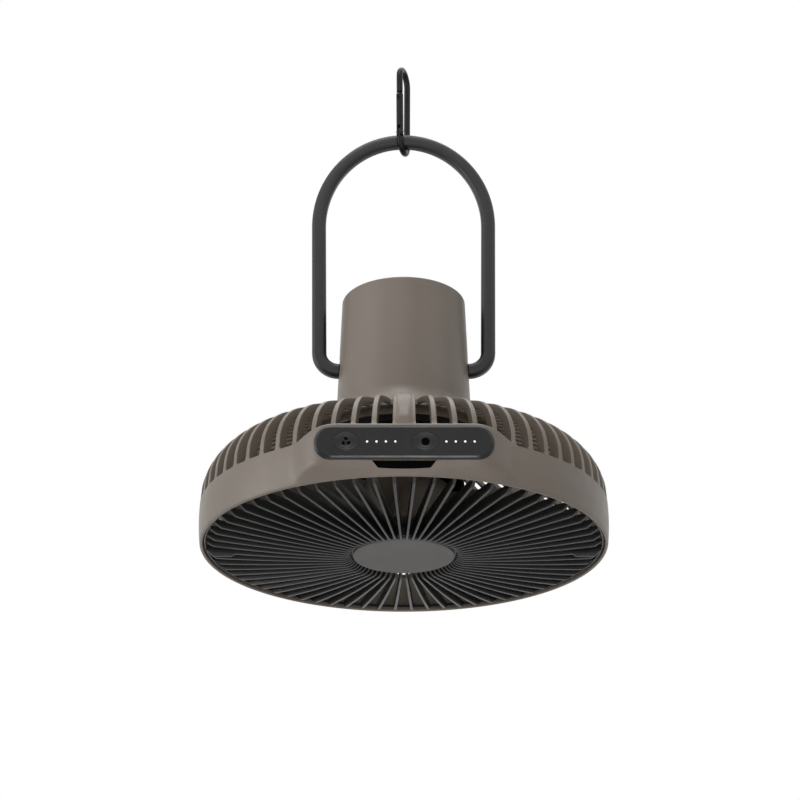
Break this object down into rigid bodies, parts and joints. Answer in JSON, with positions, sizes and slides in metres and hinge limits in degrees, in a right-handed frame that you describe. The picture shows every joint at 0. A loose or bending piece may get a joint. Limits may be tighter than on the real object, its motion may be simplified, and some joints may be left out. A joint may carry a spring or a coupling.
{
  "type": "portable camping fan",
  "caption": "Round guarded fan head with a control panel on its rim, a battery tower, a swinging arched bail and a snap hook to hang it by.",
  "frame": {"origin": "centre of the front face of the cap in the middle of the front grille", "axes": "+Z along the fan's axis from the front grille to the hanger, -Y towards the control panel, +X to the right seen from the panel's side"},
  "size_m": [0.2602, 0.2625, 0.3698],
  "materials": {
    "casing_plastic": "warm taupe moulded plastic, fine satin texture",
    "grille_plastic": "black moulded plastic",
    "cap_plastic": "mid grey satin plastic",
    "panel_plastic": "charcoal satin plastic",
    "key_rubber": "charcoal soft key",
    "light_plastic": "milky light pipe",
    "board_plastic": "green circuit board",
    "latch_plastic": "black moulded plastic",
    "impeller_plastic": "black satin plastic",
    "bright_steel": "plain steel",
    "can_steel": "dull plated steel",
    "mount_plastic": "black glass-filled plastic",
    "coil_wire": "enamelled copper wire",
    "cell_wrap": "shrink-wrapped cell",
    "cover_rubber": "dark brown rubber",
    "bail_plastic": "charcoal satin plastic",
    "hook_metal": "black anodised wire"
  },
  "bodies": {
    "casing": {"rear_guard": "casing_plastic", "front_grille": "grille_plastic", "grille_cap": "cap_plastic", "control_panel": "panel_plastic", "panel_board": "board_plastic", "indicator_lights": "light_plastic", "motor_mount": "mount_plastic", "bearings": "bright_steel", "stator_core": "can_steel", "stator_coils": "coil_wire", "tower_screws": "bright_steel", "tower_shell": "casing_plastic", "tower_end_cap": "casing_plastic", "end_cap_screws": "bright_steel", "battery_cells": "cell_wrap", "lower_cell_holder": "mount_plastic", "upper_cell_holder": "mount_plastic", "charge_board": "board_plastic", "charge_socket": "bright_steel", "pivot_bushes": "mount_plastic"},
    "rotor": {"impeller": "impeller_plastic", "impeller_nut": "bright_steel", "motor_shaft": "bright_steel", "rotor_can": "can_steel", "magnets": "can_steel"},
    "handle": {"bail": "bail_plastic", "pivot_washers": "bright_steel", "pivot_screws": "bright_steel"},
    "hook": {"carabiner_body": "hook_metal"},
    "gate": {"carabiner_gate": "hook_metal", "gate_rivet": "bright_steel"},
    "left_key": {"speed_key": "key_rubber"},
    "right_key": {"mode_key": "key_rubber"},
    "latch": {"grille_latch": "latch_plastic"},
    "flap": {"port_cover": "cover_rubber"}
  },
  "joints": [
    {"name": "rotor_spin", "type": "hinge", "parent": "casing", "child": "rotor", "pos_m": [0, 0, 0.035], "axis": [0, 0, 1], "continuous": true},
    {"name": "bail_swing", "type": "hinge", "parent": "casing", "child": "handle", "pos_m": [0, 0, 0.1298], "axis": [1, 0, 0], "range_deg": [-110, 110]},
    {"name": "carabiner_swing", "type": "hinge", "parent": "handle", "child": "hook", "pos_m": [0, 0, 0.3072], "axis": [1, 0, 0], "continuous": true},
    {"name": "gate_open", "type": "hinge", "parent": "hook", "child": "gate", "pos_m": [-0.00247, -0.00759, 0.3116], "axis": [-0.9511, 0.309, 0], "range_deg": [0, 22], "stiffness_Nm_per_rad": 0.3, "springref_deg": -5.73},
    {"name": "speed_key_press", "type": "slide", "parent": "casing", "child": "left_key", "axis": [0, 1, 0], "range_m": [0, 0.0006], "stiffness_N_per_m": 1500, "springref_m": -0.0003},
    {"name": "mode_key_press", "type": "slide", "parent": "casing", "child": "right_key", "axis": [0, 1, 0], "range_m": [0, 0.0006], "stiffness_N_per_m": 1500, "springref_m": -0.0003},
    {"name": "latch_press", "type": "slide", "parent": "casing", "child": "latch", "axis": [0, 1, 0], "range_m": [0, 0.0015], "stiffness_N_per_m": 1000, "springref_m": -0.0005},
    {"name": "port_cover_open", "type": "hinge", "parent": "casing", "child": "flap", "pos_m": [0, 0.04217, 0.1455], "axis": [-1, 0, 0], "range_deg": [0, 110], "stiffness_Nm_per_rad": 0.001, "springref_deg": -11.46}
  ]
}
